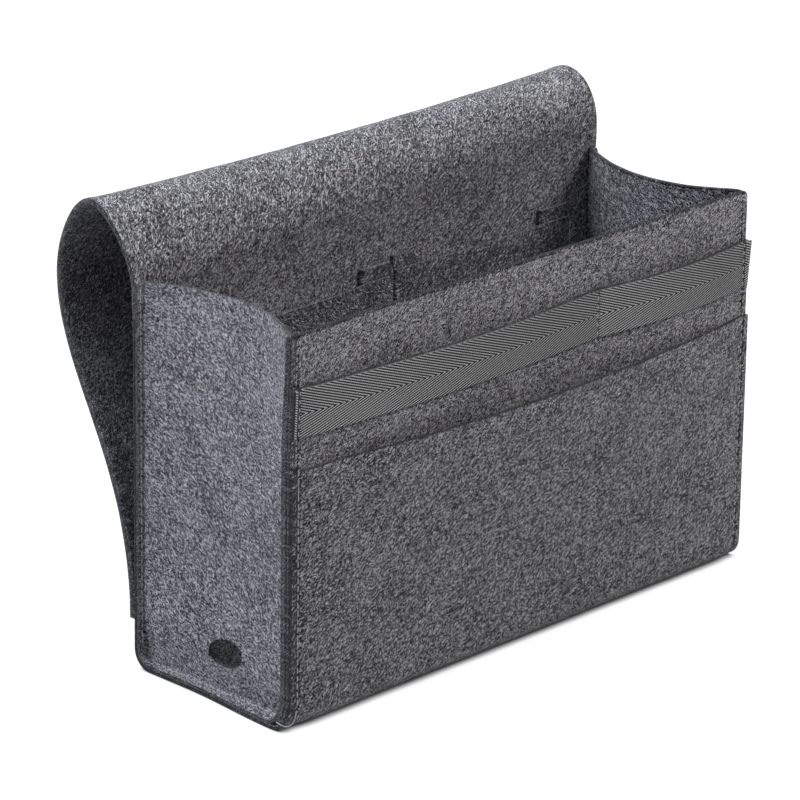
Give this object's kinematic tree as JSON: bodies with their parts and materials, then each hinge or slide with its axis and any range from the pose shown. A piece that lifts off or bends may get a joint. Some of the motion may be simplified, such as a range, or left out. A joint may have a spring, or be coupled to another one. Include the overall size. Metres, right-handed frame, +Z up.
{
  "type": "felt bedside caddy",
  "caption": "Grey felt bedside caddy with layered front pockets, webbing trim, pleated inner pockets, cable holes and a tuck-in flap that rolls over the back.",
  "frame": {"origin": "under the middle of the whole caddy's bounding box, on the surface it stands on", "axes": "+X along the caddy to its right end seen from the front, +Y from the front pockets to the back and flap, +Z up"},
  "size_m": [0.33, 0.1804, 0.2415],
  "materials": {
    "felt": "heathered needle felt, matt, with light and dark fibres",
    "webbing": "herringbone twill tape, slight sheen",
    "thread": "polyester sewing thread"
  },
  "bodies": {
    "caddy": {"low_pocket": "felt", "bottom_panel": "felt", "back_panel": "felt", "front_panel": "felt", "mid_pocket": "felt", "end_panel_left": "felt", "end_panel_right": "felt", "inner_pocket_left": "felt", "inner_pocket_right": "felt", "webbing_trim": "webbing", "front_seam_thread_left": "thread", "front_seam_thread_right": "thread", "back_seam_thread_left": "thread", "back_seam_thread_right": "thread", "bottom_seam_thread_left": "thread", "bottom_seam_thread_right": "thread", "pocket_divide_thread": "thread", "inner_edge_thread_left": "thread", "inner_edge_thread_right": "thread"},
    "crest": {"flap_crest": "felt"},
    "tail": {"flap_tail": "felt"}
  },
  "joints": [
    {"name": "crest_roll", "type": "hinge", "parent": "caddy", "child": "crest", "pos_m": [0, 0.03885, 0.23275], "axis": [1, 0, 0], "range_deg": [0, 52]},
    {"name": "tail_roll", "type": "hinge", "parent": "crest", "child": "tail", "pos_m": [0, 0.08046, 0.22407], "axis": [1, 0, 0], "range_deg": [0, 52]}
  ],
  "couplings": [
    {"joint": "tail_roll", "follows": "crest_roll", "ratio": 1}
  ]
}
